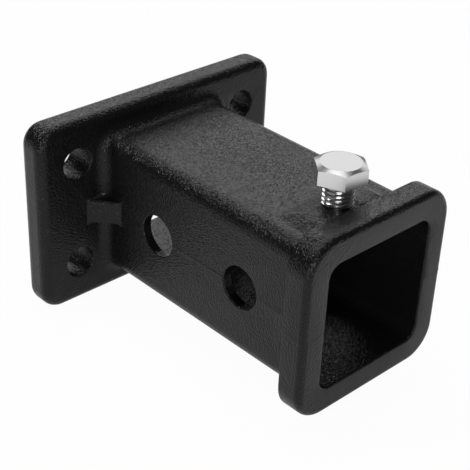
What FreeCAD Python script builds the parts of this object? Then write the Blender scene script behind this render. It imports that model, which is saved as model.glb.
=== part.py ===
"""Hitch receiver adapter: a one-piece casting with a square socket, and its anti-rattle bolt.

Frame, in millimetres: the origin is the centre of the mounting bolts on the rear face of the
plate. +Z is up, +X is to the right seen from the socket's mouth, and the socket opens towards -Y.
"""
import os

import FreeCAD
import Part
import Sketcher

SIZES = {
    # Socket and the tube round it
    "socket_width": 52.0,
    "socket_corner": 5.0,
    "socket_edge_chamfer": 0.8,
    "tube_wall": 4.0,
    "tube_corner": 7.2,
    "overall_length": 130.5,
    # Collar at the mouth
    "collar_rise": 7.0,
    "collar_depth": 11.0,
    "collar_corner": 13.2,
    "collar_front_round": 2.6,
    "collar_rear_chamfer": 1.0,
    "collar_root": 2.0,
    # Mounting plate
    "plate_width": 121.0,
    "plate_rise": 10.1,
    "plate_thickness": 13.5,
    "plate_corner": 8.6,
    "plate_front_round": 4.0,
    "plate_rear_round": 5.0,
    "plate_root": 5.0,
    "bolt_stand_off": 12.86,
    "bolt_spacing_up": 44.45,
    "bolt_hole_diameter": 13.0,
    # Cross holes for the hitch pin
    "pin_hole_diameter": 17.0,
    "pin_hole_setback": 39.0,
    "pin_hole_pitch": 46.0,
    "hole_edge_chamfer": 0.5,
    # Side ribs in the corner between plate and tube
    "rib_reach_out": 9.5,
    "rib_reach_forward": 10.7,
    "rib_height": 10.0,
    "rib_edge_round": 1.0,
    "rib_root": 1.6,
    # Raised land with sloping ends that gives the anti-rattle bolt its thread
    "land_width": 45.0,
    "land_length": 21.5,
    "land_rise": 3.0,
    "land_slope": 8.0,
    "land_edge_round": 4.0,
    "bolt_setback": 22.1,
    # Anti-rattle bolt
    "thread_diameter": 12.0,
    "thread_clearance": 0.05,
    "shank_length": 16.0,
    "tip_chamfer": 1.2,
    "head_across_flats": 17.8,
    "head_height": 6.6,
    "head_face_diameter": 15.0,
    "head_chamfer_angle": 24.0,
    "head_turn": -7.7,
}

doc = FreeCAD.newDocument("hitch_receiver_adapter")
sheet = doc.addObject("Spreadsheet::Sheet", "sizes")
for row, (alias, value) in enumerate(SIZES.items(), start=1):
    sheet.set("A%d" % row, alias)
    sheet.set("B%d" % row, str(value))
    sheet.setAlias("B%d" % row, alias)
doc.recompute()

TOUCH = 1e-4


def size(alias):
    """A driving dimension, read from the sheet."""
    return float(sheet.get(alias))


def new_body(label):
    body = doc.addObject("PartDesign::Body", label)
    body.Label = label
    return body


def new_sketch(body, name, plane, offset=None):
    """A sketch on one of the body's origin planes, moved along the plane's normal by an expression."""
    sketch = body.newObject("Sketcher::SketchObject", name)
    base = next(item for item in body.Origin.OriginFeatures if item.Role == plane)
    sketch.AttachmentSupport = [(base, "")]
    sketch.MapMode = "FlatFace"
    if offset:
        sketch.setExpression("AttachmentOffset.Base.z", offset)
    return sketch


def dimension(sketch, name, constraint, expression):
    """A named driving constraint whose value comes from the sheet."""
    index = sketch.addConstraint(constraint)
    sketch.renameConstraint(index, name)
    sketch.setExpression("Constraints." + name, expression)


ORIGIN = (-1, 1)


def rounded_rectangle(sketch, width, height, corner):
    """A rectangle centred on the sketch's origin, with the same arc at its four corners."""
    vector = FreeCAD.Vector
    half_x = 30.0
    half_y = 20.0
    arc = 5.0
    right_angle = 1.5707963267948966
    centres = [(1, 1), (-1, 1), (-1, -1), (1, -1)]
    arcs = []
    for turn, (side_x, side_y) in enumerate(centres):
        middle = vector(side_x * (half_x - arc), side_y * (half_y - arc), 0)
        circle = Part.Circle(middle, vector(0, 0, 1), arc)
        arcs.append(sketch.addGeometry(Part.ArcOfCircle(circle, turn * right_angle, (turn + 1) * right_angle)))
    lines = []
    for turn in range(4):
        start = sketch.getPoint(arcs[turn], 2)
        end = sketch.getPoint(arcs[(turn + 1) % 4], 1)
        lines.append(sketch.addGeometry(Part.LineSegment(start, end)))
    for turn in range(4):
        sketch.addConstraint(Sketcher.Constraint("Tangent", arcs[turn], 2, lines[turn], 1))
        sketch.addConstraint(Sketcher.Constraint("Tangent", lines[turn], 2, arcs[(turn + 1) % 4], 1))
    for turn in range(4):
        sketch.addConstraint(Sketcher.Constraint("Horizontal" if turn % 2 == 0 else "Vertical", lines[turn]))
    for turn in range(1, 4):
        sketch.addConstraint(Sketcher.Constraint("Equal", arcs[0], arcs[turn]))
    sketch.addConstraint(Sketcher.Constraint("Symmetric", arcs[0], 3, arcs[2], 3, *ORIGIN))
    dimension(sketch, "corner", Sketcher.Constraint("Radius", arcs[0], arc), corner)
    dimension(sketch, "across", Sketcher.Constraint("DistanceX", arcs[1], 3, arcs[0], 3, 2 * (half_x - arc)),
              "%s - 2 * %s" % (width, corner))
    dimension(sketch, "up", Sketcher.Constraint("DistanceY", arcs[3], 3, arcs[0], 3, 2 * (half_y - arc)),
              "%s - 2 * %s" % (height, corner))


def circle_at(sketch, name, diameter, across, up):
    """A circle whose centre lies at two signed distances from the sketch's origin."""
    vector = FreeCAD.Vector
    start = vector(10.0, 10.0, 0)
    ring = sketch.addGeometry(Part.Circle(start, vector(0, 0, 1), 5.0))
    dimension(sketch, name + "_diameter", Sketcher.Constraint("Diameter", ring, 10.0), diameter)
    dimension(sketch, name + "_across", Sketcher.Constraint("DistanceX", *ORIGIN, ring, 3, start.x), across)
    dimension(sketch, name + "_up", Sketcher.Constraint("DistanceY", *ORIGIN, ring, 3, start.y), up)


def polygon(sketch, corners):
    """A closed outline through corners given as pairs of expressions, measured from the origin."""
    vector = FreeCAD.Vector
    spread = 10.0
    guesses = [vector(*(sketch.evalExpression(part) for part in corner), 0) for corner in corners]
    sides = []
    for index, guess in enumerate(guesses):
        following = guesses[(index + 1) % len(guesses)]
        sides.append(sketch.addGeometry(Part.LineSegment(guess, following)))
    for index, side in enumerate(sides):
        following = sides[(index + 1) % len(sides)]
        sketch.addConstraint(Sketcher.Constraint("Coincident", side, 2, following, 1))
    for index, (across, up) in enumerate(corners):
        dimension(sketch, "across_%d" % index,
                  Sketcher.Constraint("DistanceX", *ORIGIN, sides[index], 1, spread), across)
        dimension(sketch, "up_%d" % index,
                  Sketcher.Constraint("DistanceY", *ORIGIN, sides[index], 1, spread), up)


def pad(body, name, sketch, length, reversed_way=False, both_ways=False):
    feature = body.newObject("PartDesign::Pad", name)
    feature.Profile = sketch
    feature.setExpression("Length", length)
    feature.Reversed = reversed_way
    feature.Midplane = both_ways
    doc.recompute()
    return feature


def pocket(body, name, sketch, length=None, reversed_way=False):
    """A cut of a set depth, or right through on both sides of the sketch, that has to remove metal."""
    before = body.Shape.Volume
    feature = body.newObject("PartDesign::Pocket", name)
    feature.Profile = sketch
    if length:
        feature.setExpression("Length", length)
        feature.Reversed = reversed_way
    else:
        feature.Type = "ThroughAll"
        feature.Midplane = True
    doc.recompute()
    if body.Shape.Volume > before - 1.0:
        raise RuntimeError(name + " removed nothing")
    return feature


def dress_edges(body, name, kind, measure, amount, chosen):
    """A fillet or chamfer on the edges of the body's last feature that pass a test."""
    base = body.Tip
    names = ["Edge%d" % number for number, edge in enumerate(base.Shape.Edges, start=1) if chosen(edge)]
    if not names:
        raise RuntimeError(name + " found no edge")
    feature = body.newObject(kind, name)
    feature.Base = (base, names)
    feature.setExpression(measure, amount)
    doc.recompute()
    return feature


def round_edges(body, name, radius, chosen):
    return dress_edges(body, name, "PartDesign::Fillet", "Radius", radius, chosen)


def chamfer_edges(body, name, leg, chosen):
    return dress_edges(body, name, "PartDesign::Chamfer", "Size", leg, chosen)


def lies_at_y(edge, level):
    box = edge.BoundBox
    return abs(box.YMin - level) < TOUCH and abs(box.YMax - level) < TOUCH


def reach(edge):
    """How far an edge reaches from the tube's axis, across or up."""
    box = edge.BoundBox
    return max(abs(box.XMin), abs(box.XMax), abs(box.ZMin), abs(box.ZMax))


def is_ring(edge, diameter):
    curve = edge.Curve
    return isinstance(curve, Part.Circle) and abs(2 * curve.Radius - diameter) < TOUCH


# Casting: plate, tube, collar, ribs and land poured in one piece, then machined
casting = new_body("receiver_casting")
tube_width = "(sizes.socket_width + 2 * sizes.tube_wall)"
tube_half = size("socket_width") / 2 + size("tube_wall")
plate_face = -size("plate_thickness")
mouth = -size("overall_length")
collar_back = mouth + size("collar_depth")

outline = new_sketch(casting, "PlateOutline", "XZ_Plane")
plate_height = "(%s + 2 * sizes.plate_rise)" % tube_width
rounded_rectangle(outline, "sizes.plate_width", plate_height, "sizes.plate_corner")
pad(casting, "Plate", outline, "sizes.plate_thickness")
round_edges(casting, "PlateFrontRound", "sizes.plate_front_round", lambda edge: lies_at_y(edge, plate_face))
round_edges(casting, "PlateRearRound", "sizes.plate_rear_round", lambda edge: lies_at_y(edge, 0.0))

outline = new_sketch(casting, "TubeOutline", "XZ_Plane")
rounded_rectangle(outline, tube_width, tube_width, "sizes.tube_corner")
pad(casting, "Tube", outline, "sizes.overall_length")
round_edges(casting, "PlateRoot", "sizes.plate_root",
            lambda edge: lies_at_y(edge, plate_face) and reach(edge) < tube_half + TOUCH)

outline = new_sketch(casting, "CollarOutline", "XZ_Plane", "sizes.overall_length - sizes.collar_depth")
collar_width = "(%s + 2 * sizes.collar_rise)" % tube_width
rounded_rectangle(outline, collar_width, collar_width, "sizes.collar_corner")
pad(casting, "Collar", outline, "sizes.collar_depth")
round_edges(casting, "CollarFrontRound", "sizes.collar_front_round", lambda edge: lies_at_y(edge, mouth))
chamfer_edges(casting, "CollarRearEdge", "sizes.collar_rear_chamfer",
              lambda edge: lies_at_y(edge, collar_back) and reach(edge) > tube_half + TOUCH)
chamfer_edges(casting, "CollarRoot", "sizes.collar_root",
              lambda edge: lies_at_y(edge, collar_back) and reach(edge) < tube_half + TOUCH)

# Bolt land: a flat top with three sloping sides, standing on the tube and running forward into the collar
land_top = "(%s / 2 + sizes.land_rise)" % tube_width
land_foot = "(%s / 2 - sizes.tube_wall / 2)" % tube_width
foot_growth = "sizes.land_slope * sizes.tube_wall / 2 / sizes.land_rise"
land_front = "-(sizes.overall_length - sizes.collar_depth / 2)"
land_back = "-(sizes.overall_length - sizes.collar_depth - sizes.land_length)"
levels = []
for name, level, growth in (("LandFoot", land_foot, foot_growth), ("LandTop", land_top, "-sizes.land_slope")):
    outline = new_sketch(casting, name, "XY_Plane", level)
    side = "(sizes.land_width / 2 + %s)" % growth
    back = "%s + %s" % (land_back, growth)
    polygon(outline, [("-" + side, land_front), (side, land_front), (side, back), ("-" + side, back)])
    levels.append(outline)
land = casting.newObject("PartDesign::AdditiveLoft", "BoltLand")
land.Profile = levels[0]
land.Sections = levels[1:]
land.Ruled = True
doc.recompute()
land_top_z = tube_half + size("land_rise")


def is_land_rim(edge):
    box = edge.BoundBox
    return abs(box.ZMin - land_top_z) < TOUCH and abs(box.ZMax - land_top_z) < TOUCH and box.YMax > collar_back + TOUCH


round_edges(casting, "LandRim", "sizes.land_edge_round", is_land_rim)

# Ribs: a stub gusset at mid height on each side, in the corner between plate and tube
outline = new_sketch(casting, "RibOutline", "XY_Plane")
rib_inside = "-(%s / 2 - sizes.tube_wall / 2)" % tube_width
rib_foot = "-(%s / 2)" % tube_width
rib_tip = "-(%s / 2 + sizes.rib_reach_out)" % tube_width
rib_front = "-(sizes.plate_thickness + sizes.rib_reach_forward)"
rib_back = "-(sizes.plate_thickness / 2)"
polygon(outline, [(rib_tip, "-sizes.plate_thickness"), (rib_foot, rib_front), (rib_inside, rib_front),
                  (rib_inside, rib_back), (rib_tip, rib_back)])
rib = pad(casting, "Rib", outline, "sizes.rib_height", both_ways=True)
rib_mirror = casting.newObject("PartDesign::Mirrored", "RibMirror")
rib_mirror.Originals = [rib]
rib_mirror.MirrorPlane = (next(item for item in casting.Origin.OriginFeatures if item.Role == "YZ_Plane"), [""])
casting.Tip = rib_mirror
doc.recompute()


def at_rib_level(edge):
    box = edge.BoundBox
    return abs(abs(box.ZMin) - size("rib_height") / 2) < TOUCH and box.ZMax - box.ZMin < TOUCH


def slants(edge):
    """Whether an edge runs along a rib's sloping face."""
    box = edge.BoundBox
    straight = isinstance(edge.Curve, (Part.Line, Part.LineSegment))
    return straight and box.XMax - box.XMin > TOUCH and box.YMax - box.YMin > TOUCH


round_edges(casting, "RibRoot", "sizes.rib_root", lambda edge: at_rib_level(edge) and not slants(edge))
round_edges(casting, "RibRim", "sizes.rib_edge_round", lambda edge: at_rib_level(edge) and slants(edge))

# Machining: socket right through, pin holes across, plate holes and the tapped hole
outline = new_sketch(casting, "SocketOutline", "XZ_Plane")
rounded_rectangle(outline, "sizes.socket_width", "sizes.socket_width", "sizes.socket_corner")
pocket(casting, "Socket", outline)
socket_half = size("socket_width") / 2
chamfer_edges(casting, "SocketEdges", "sizes.socket_edge_chamfer",
              lambda edge: (lies_at_y(edge, mouth) or lies_at_y(edge, 0.0)) and reach(edge) < socket_half + TOUCH)

outline = new_sketch(casting, "PinHoles", "YZ_Plane")
front_pin = "-(sizes.overall_length - sizes.pin_hole_setback)"
circle_at(outline, "front_pin", "sizes.pin_hole_diameter", front_pin, "0")
circle_at(outline, "rear_pin", "sizes.pin_hole_diameter", front_pin + " + sizes.pin_hole_pitch", "0")
pocket(casting, "PinBores", outline)

outline = new_sketch(casting, "PlateHoles", "XZ_Plane")
bolt_spacing_across = "(%s + 2 * sizes.bolt_stand_off)" % tube_width
for side, across in (("left", "-"), ("right", "")):
    for end, up in (("lower", "-"), ("upper", "")):
        circle_at(outline, "%s_%s" % (side, end), "sizes.bolt_hole_diameter",
                  across + bolt_spacing_across + " / 2", up + "sizes.bolt_spacing_up / 2")
pocket(casting, "PlateBores", outline, "sizes.plate_thickness", reversed_way=True)


def is_hole_rim(edge):
    """The outer rims of the pin holes and the front rims of the plate holes."""
    box = edge.BoundBox
    on_side = abs(max(abs(box.XMin), abs(box.XMax)) - tube_half) < TOUCH and box.XMax - box.XMin < TOUCH
    pin_rim = on_side and is_ring(edge, size("pin_hole_diameter"))
    plate_rim = lies_at_y(edge, plate_face) and is_ring(edge, size("bolt_hole_diameter"))
    return pin_rim or plate_rim


chamfer_edges(casting, "HoleRims", "sizes.hole_edge_chamfer", is_hole_rim)

outline = new_sketch(casting, "TappedHole", "XY_Plane", land_top)
bolt_y = "-(sizes.overall_length - sizes.bolt_setback)"
circle_at(outline, "thread", "sizes.thread_diameter + 2 * sizes.thread_clearance", "0", bolt_y)
pocket(casting, "BoltBore", outline, "sizes.land_rise + sizes.tube_wall + sizes.socket_width / 2")

# Anti-rattle bolt: forged hexagon head with turned corners, plain shank at the thread's outside size.
# It is drawn from the underside of its head, and stands with its tip level with the socket's roof.
bolt = new_body("anti_rattle_bolt")
outline = new_sketch(bolt, "HeadOutline", "XY_Plane")
corner_reach = "sizes.head_across_flats / sqrt(3)"
polygon(outline, [("%s * cos(%d deg)" % (corner_reach, 60 * turn), "%s * sin(%d deg)" % (corner_reach, 60 * turn))
                  for turn in range(6)])
pad(bolt, "Head", outline, "sizes.head_height")

outline = new_sketch(bolt, "HeadTurning", "XZ_Plane")
face_edge = "sizes.head_face_diameter / 2"
outside = "sizes.head_across_flats"
fall = "(%s - %s) * tan(sizes.head_chamfer_angle * 1 deg)" % (outside, face_edge)
polygon(outline, [(face_edge, "sizes.head_height"), (outside, "sizes.head_height"),
                  (outside, "sizes.head_height - %s" % fall)])
before = bolt.Shape.Volume
turning = bolt.newObject("PartDesign::Groove", "HeadChamfer")
turning.Profile = outline
turning.ReferenceAxis = (outline, ["V_Axis"])
turning.Angle = 360.0
doc.recompute()
if bolt.Shape.Volume > before - 1.0:
    raise RuntimeError("the head's chamfer removed nothing")

outline = new_sketch(bolt, "ShankOutline", "XY_Plane")
circle_at(outline, "shank", "sizes.thread_diameter", "0", "0")
pad(bolt, "Shank", outline, "sizes.shank_length", reversed_way=True)
tip = -size("shank_length")
chamfer_edges(bolt, "TipChamfer", "sizes.tip_chamfer", lambda edge: abs(edge.BoundBox.ZMax - tip) < TOUCH)
bolt.Placement = FreeCAD.Placement(FreeCAD.Vector(), FreeCAD.Rotation(FreeCAD.Vector(0, 0, 1), 1.0))
bolt.setExpression("Placement.Base.y", bolt_y)
bolt.setExpression("Placement.Base.z", "sizes.socket_width / 2 + sizes.shank_length")
bolt.setExpression("Placement.Rotation.Angle", "sizes.head_turn * 1 deg")
doc.recompute()

# Every feature has to be sound before the solids are written
for item in doc.Objects:
    if "Invalid" in item.State or "Error" in item.State:
        raise RuntimeError("%s failed: %s" % (item.Name, item.State))
os.makedirs("parts", exist_ok=True)
for body in (casting, bolt):
    shape = body.Shape
    if shape.isNull() or not shape.isValid() or len(shape.Solids) != 1:
        raise RuntimeError(body.Label + " is not one sound solid")
    shape.exportStep("parts/%s.step" % body.Label)
    print(body.Label, "volume %.0f mm3" % shape.Volume, shape.BoundBox)
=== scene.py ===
from math import cos, pi, radians, sin, sqrt

import bmesh
import bpy
from mathutils import Matrix, Vector


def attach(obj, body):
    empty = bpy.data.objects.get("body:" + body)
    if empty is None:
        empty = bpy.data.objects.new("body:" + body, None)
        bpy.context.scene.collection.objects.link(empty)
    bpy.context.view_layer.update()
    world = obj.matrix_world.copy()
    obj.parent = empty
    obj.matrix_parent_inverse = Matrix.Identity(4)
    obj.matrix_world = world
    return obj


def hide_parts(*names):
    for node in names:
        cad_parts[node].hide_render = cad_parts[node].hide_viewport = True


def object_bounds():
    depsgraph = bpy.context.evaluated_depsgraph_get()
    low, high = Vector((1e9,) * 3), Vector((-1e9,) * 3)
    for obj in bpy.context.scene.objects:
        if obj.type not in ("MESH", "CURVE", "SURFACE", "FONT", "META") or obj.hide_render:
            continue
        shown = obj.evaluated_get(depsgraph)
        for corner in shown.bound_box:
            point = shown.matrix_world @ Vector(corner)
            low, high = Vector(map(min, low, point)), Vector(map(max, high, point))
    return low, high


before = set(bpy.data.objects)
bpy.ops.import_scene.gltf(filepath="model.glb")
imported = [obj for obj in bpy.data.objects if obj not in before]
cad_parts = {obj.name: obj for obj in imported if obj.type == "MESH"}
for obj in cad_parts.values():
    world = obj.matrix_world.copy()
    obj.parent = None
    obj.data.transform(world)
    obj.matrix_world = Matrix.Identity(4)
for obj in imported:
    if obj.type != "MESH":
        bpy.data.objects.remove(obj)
cad_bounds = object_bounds()

# Receiver casting: steel poured in one piece in a two-part mould, then powder coated in satin black. It is
# the solid's own mesh with doubled points merged. The parting line stands a little proud along the sides
# and is a fine groove across the mouth, and the coat's grain stands lower inside the socket.
MM = 0.001
tube_half = 30.0 * MM
socket_half = 26.0 * MM
plate_face = -13.5 * MM
mouth = -130.5 * MM
slack = 0.1 * MM
plate_clearance = 1.0 * MM


def powder_coat(name, relief):
    """Satin black powder coat whose grain stands as high as relief says, in metres."""
    finish = bpy.data.materials.new(name)
    finish.use_nodes = True
    nodes = finish.node_tree.nodes
    links = finish.node_tree.links
    shader = nodes["Principled BSDF"]
    shader.inputs["Base Color"].default_value = (0.007, 0.007, 0.0074, 1.0)
    shader.inputs["Roughness"].default_value = 0.17
    shader.inputs["Specular IOR Level"].default_value = 0.23
    place = nodes.new("ShaderNodeTexCoord")
    turned = nodes.new("ShaderNodeMapping")
    turned.inputs["Rotation"].default_value = (0.6, 0.4, 0.2)
    grain = nodes.new("ShaderNodeTexNoise")
    grain.inputs["Scale"].default_value = 1750.0
    grain.inputs["Detail"].default_value = 0.0
    bump = nodes.new("ShaderNodeBump")
    bump.inputs["Distance"].default_value = relief
    links.new(place.outputs["Object"], turned.inputs["Vector"])
    links.new(turned.outputs["Vector"], grain.inputs["Vector"])
    links.new(grain.outputs["Fac"], bump.inputs["Height"])
    links.new(bump.outputs["Normal"], shader.inputs["Normal"])
    return finish


outer_coat = powder_coat("black_powder_coat", 0.27 * MM)
socket_coat = powder_coat("black_powder_coat_in_socket", 0.2 * MM)

casting_mesh = bmesh.new()
casting_mesh.from_mesh(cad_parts["receiver_casting"].data)
bmesh.ops.remove_doubles(casting_mesh, verts=casting_mesh.verts, dist=0.002 * MM)

seam_half_width = 0.5 * MM
seam_height = 0.15 * MM


def on_outer_side(face):
    """Whether a face lies on the tube's or the collar's outer sides, in front of the plate."""
    middle = face.calc_center_median()
    beside_tube = abs(middle.x) > tube_half - slack and abs(face.normal.x) > 0.5
    return beside_tube and middle.y < plate_face - plate_clearance


def on_mouth(face):
    """Whether a face lies on the flat ring round the socket's mouth."""
    middle = face.calc_center_median()
    return middle.y < mouth + 0.5 * slack and face.normal.y < -0.9


for lies_here, push in ((on_outer_side, seam_height), (on_mouth, -seam_height)):
    for level in (-seam_half_width, seam_half_width, 0.0):
        band = [face for face in casting_mesh.faces if lies_here(face)]
        geometry = set(band)
        for face in band:
            geometry.update(face.edges)
            geometry.update(face.verts)
        bmesh.ops.bisect_plane(casting_mesh, geom=list(geometry), dist=1e-8,
                               plane_co=(0.0, 0.0, level), plane_no=(0.0, 0.0, 1.0))
    seam = {vert for face in casting_mesh.faces if lies_here(face) for vert in face.verts}
    for vert in seam:
        if abs(vert.co.z) < 1e-7:
            vert.co += vert.normal * push
for face in casting_mesh.faces:
    middle = face.calc_center_median()
    face.material_index = int(max(abs(middle.x), abs(middle.z)) < socket_half + slack)
mesh = bpy.data.meshes.new("coated_casting")
casting_mesh.to_mesh(mesh)
casting_mesh.free()
mesh.shade_smooth()
mesh.set_sharp_from_angle(angle=radians(32.0))
mesh.materials.append(outer_coat)
mesh.materials.append(socket_coat)
casting = bpy.data.objects.new("coated_casting", mesh)
bpy.context.scene.collection.objects.link(casting)
even = casting.modifiers.new("flat faces stay flat", "WEIGHTED_NORMAL")
even.keep_sharp = True
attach(casting, "casting")
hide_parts("receiver_casting")

# Anti-rattle bolt: forged steel hexagon bolt, bright zinc plated, screwed into the land on the tube's top.
# The head is a hexagon with a turned face and chamfer, and the thread is one wave wound up the shank.
bolt_y = -108.4 * MM
head_under = 42.0 * MM
head_height = 6.6 * MM
head_flats = 17.8 * MM
head_face_radius = 7.5 * MM
head_chamfer = radians(24.0)
head_turn = radians(-7.7)
thread_radius = 6.0 * MM
thread_pitch = 1.75 * MM
thread_depth = 1.0 * MM
shank_length = 16.0 * MM
tip_chamfer = 1.2 * MM
bolt_axis = Vector((0.0, bolt_y, 0.0))

head = bmesh.new()
bmesh.ops.create_circle(head, cap_ends=True, segments=6, radius=head_flats / sqrt(3.0),
                        matrix=Matrix.Rotation(head_turn + radians(30.0), 4, "Z"))
raised = bmesh.ops.extrude_face_region(head, geom=head.faces[:])
bmesh.ops.translate(head, verts=[item for item in raised["geom"] if isinstance(item, bmesh.types.BMVert)],
                    vec=(0.0, 0.0, head_height))
bmesh.ops.recalc_face_normals(head, faces=head.faces)
chamfer_cuts = 72
for cut in range(chamfer_cuts):
    turn = 2.0 * pi * cut / chamfer_cuts
    outward = Vector((cos(turn), sin(turn), 0.0))
    slope = (outward * sin(head_chamfer) + Vector((0.0, 0.0, cos(head_chamfer)))).normalized()
    rim = outward * head_face_radius + Vector((0.0, 0.0, head_height))
    bmesh.ops.bisect_plane(head, geom=head.verts[:] + head.edges[:] + head.faces[:], dist=1e-7,
                           plane_co=rim, plane_no=slope, clear_outer=True)
    bmesh.ops.holes_fill(head, edges=[edge for edge in head.edges if edge.is_boundary])
bmesh.ops.translate(head, verts=head.verts, vec=bolt_axis + Vector((0.0, 0.0, head_under)))

thread_steps = 40
thread = bmesh.new()
profile_steps = 16
profile = []
for step in range(profile_steps + 1):
    along = step / profile_steps
    depth = thread_depth * (0.5 - 0.5 * cos(2.0 * pi * along))
    profile.append((thread_radius - depth, thread_pitch * along))
start = head_under - shank_length - thread_pitch
line = [thread.verts.new((radius, bolt_y, start + rise)) for radius, rise in profile]
sides = [thread.edges.new(pair) for pair in zip(line, line[1:])]
turns = int(shank_length / thread_pitch) + 2
bmesh.ops.spin(thread, geom=line + sides, cent=bolt_axis, axis=(0.0, 0.0, 1.0), angle=2.0 * pi * turns,
               dvec=(0.0, 0.0, thread_pitch / thread_steps), steps=thread_steps * turns, use_merge=False)
bmesh.ops.remove_doubles(thread, verts=thread.verts, dist=0.01 * MM)
for level, way in ((head_under, 1.0), (head_under - shank_length, -1.0)):
    bmesh.ops.bisect_plane(thread, geom=thread.verts[:] + thread.edges[:] + thread.faces[:], dist=1e-7,
                           plane_co=(0.0, bolt_y, level), plane_no=(0.0, 0.0, way), clear_outer=True)
for vert in thread.verts:
    from_axis = vert.co.xy - bolt_axis.xy
    allowed = thread_radius - tip_chamfer + vert.co.z - (head_under - shank_length)
    if from_axis.length > allowed:
        vert.co.xy = bolt_axis.xy + from_axis.normalized() * allowed
bmesh.ops.holes_fill(thread, edges=[edge for edge in thread.edges if edge.is_boundary])
bmesh.ops.recalc_face_normals(thread, faces=thread.faces)


def bright_zinc(name, reflectance, roughness):
    """Bright zinc plating, as pale and as smooth as the steel under it was left; the turned face's plating
    is made darker, which is painted shade.
    """
    plating = bpy.data.materials.new(name)
    plating.use_nodes = True
    shader = plating.node_tree.nodes["Principled BSDF"]
    shader.inputs["Base Color"].default_value = (reflectance, reflectance, reflectance, 1.0)
    shader.inputs["Metallic"].default_value = 1.0
    shader.inputs["Roughness"].default_value = roughness
    return plating


forged_zinc = bright_zinc("bright_zinc_on_hexagon", 0.82, 0.27)
# The turned face on top of the head gets a much darker zinc than the hexagon: painted shade that dims the
# soft box it mirrors.
turned_face_zinc_with_painted_shade = bright_zinc("zinc_darkened_as_painted_shade_on_turned_face", 0.36, 0.3)
rolled_zinc = bright_zinc("bright_zinc_on_thread", 0.66, 0.22)
# Faces that look up take the darker zinc, the painted shade on the turned face.
for face in head.faces:
    is_turned = face.normal.z > 0.5
    face.material_index = int(is_turned)

for piece, shape, platings in (("bolt_head", head, (forged_zinc, turned_face_zinc_with_painted_shade)),
                               ("bolt_thread", thread, (rolled_zinc,))):
    mesh = bpy.data.meshes.new(piece)
    shape.to_mesh(mesh)
    shape.free()
    mesh.shade_smooth()
    mesh.set_sharp_from_angle(angle=radians(20.0))
    for plating in platings:
        mesh.materials.append(plating)
    made = bpy.data.objects.new(piece, mesh)
    bpy.context.scene.collection.objects.link(made)
    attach(made, "bolt")
    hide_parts("anti_rattle_bolt")

# Studio floor: a sheet of white paper just under the plate's lower edge. The camera sees it as nearly
# plain white with a trace of the object's shadow, and glossy faces mirror it with more of that shadow.
floor_level = cad_bounds[0][2] - 0.2 * MM
paper = bpy.data.materials.new("white_paper")
paper.use_nodes = True
nodes = paper.node_tree.nodes
links = paper.node_tree.links
shader = nodes["Principled BSDF"]
shader.inputs["Base Color"].default_value = (0.85, 0.85, 0.85, 1.0)
shader.inputs["Roughness"].default_value = 0.9
glow = nodes.new("ShaderNodeEmission")
ray = nodes.new("ShaderNodeLightPath")
seen = nodes.new("ShaderNodeMath")
seen.operation = "MULTIPLY"
seen.inputs[1].default_value = 0.97
links.new(ray.outputs["Is Camera Ray"], seen.inputs[0])
mirrored = nodes.new("ShaderNodeMath")
mirrored.operation = "MAXIMUM"
links.new(ray.outputs["Is Glossy Ray"], mirrored.inputs[0])
links.new(ray.outputs["Is Transmission Ray"], mirrored.inputs[1])
share = nodes.new("ShaderNodeMath")
share.operation = "MULTIPLY_ADD"
share.inputs[1].default_value = 0.4
links.new(mirrored.outputs[0], share.inputs[0])
links.new(seen.outputs[0], share.inputs[2])
blend = nodes.new("ShaderNodeMixShader")
links.new(share.outputs[0], blend.inputs["Fac"])
links.new(shader.outputs["BSDF"], blend.inputs[1])
links.new(glow.outputs["Emission"], blend.inputs[2])
links.new(blend.outputs["Shader"], nodes["Material Output"].inputs["Surface"])

sheet = bmesh.new()
bmesh.ops.create_grid(sheet, x_segments=1, y_segments=1, size=0.6,
                      matrix=Matrix.Translation((0.0, 0.0, floor_level)))
mesh = bpy.data.meshes.new("paper_sheet")
sheet.to_mesh(mesh)
sheet.free()
mesh.materials.append(paper)
paper_sheet = bpy.data.objects.new("paper_sheet", mesh)
bpy.context.scene.collection.objects.link(paper_sheet)

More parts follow.
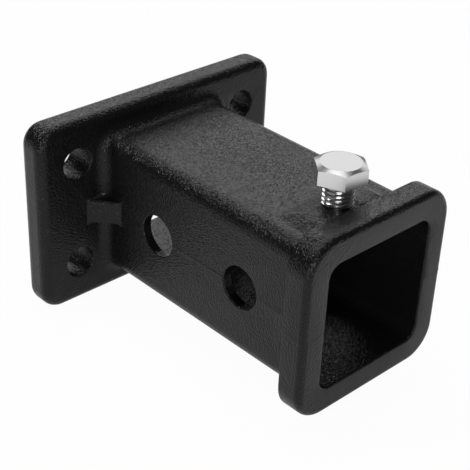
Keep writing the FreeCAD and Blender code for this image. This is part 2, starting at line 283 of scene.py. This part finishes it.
# Light: a broad soft box high behind on the right, which the upper faces mirror, a small one on the left
# that glints on the tube's rounded edge, one overhead and one in front for the bolt. The room is dim, and
# the camera sees it as white.
world = bpy.data.worlds.new("studio")
bpy.context.scene.world = world
world.use_nodes = True
nodes = world.node_tree.nodes
links = world.node_tree.links
room = nodes["Background"]
room.inputs["Color"].default_value = (0.06, 0.06, 0.06, 1.0)
white = nodes.new("ShaderNodeBackground")
white.inputs["Color"].default_value = (1.0, 1.0, 1.0, 1.0)
ray = nodes.new("ShaderNodeLightPath")
blend = nodes.new("ShaderNodeMixShader")
links.new(ray.outputs["Is Camera Ray"], blend.inputs["Fac"])
links.new(room.outputs["Background"], blend.inputs[1])
links.new(white.outputs["Background"], blend.inputs[2])
links.new(blend.outputs["Shader"], nodes["World Output"].inputs["Surface"])

for name, place, across, tall, watts in (("soft_box_behind", (0.68, 0.61, 0.57), 1.5, 0.65, 6.4),
                                         ("soft_box_overhead", (0.08, 0.0, 0.95), 0.8, 0.36, 3.2),
                                         ("soft_box_left", (-0.44, 0.36, 0.82), 0.2, 0.2, 2.6),
                                         ("soft_box_front", (-0.75, -0.8, 0.32), 0.6, 0.5, 4.7)):
    lamp = bpy.data.lights.new(name, "AREA")
    lamp.shape = "RECTANGLE"
    lamp.size = across
    lamp.size_y = tall
    lamp.energy = watts
    soft_box = bpy.data.objects.new(name, lamp)
    soft_box.location = place
    soft_box.rotation_euler = Vector(place).to_track_quat("Z", "Y").to_euler()
    bpy.context.scene.collection.objects.link(soft_box)

# Camera: where the photograph was taken from, found by fitting the plate, socket and collar to its outline.
# The lens's focal length is given in pixels of a picture 470 wide.
lens_pixels = 1189.18
picture_width = 470.0
right = Vector((0.7299646, -0.6823665, 0.0390850))
up = Vector((0.3315401, 0.4035133, 0.8527943))
back = Vector((-0.5976896, -0.6095514, 0.5207823))
view = bpy.data.cameras.new("photograph")
view.sensor_width = 36.0
view.lens = lens_pixels / picture_width * view.sensor_width
view.clip_start = 0.01
camera = bpy.data.objects.new("photograph", view)
standpoint = Matrix.Translation((-0.280665, -0.343817, 0.239261))
camera.matrix_world = standpoint @ Matrix((right, up, back)).transposed().to_4x4()
bpy.context.scene.collection.objects.link(camera)
bpy.context.scene.camera = camera
bpy.context.scene.view_settings.view_transform = "Standard"

bpy.context.view_layer.update()
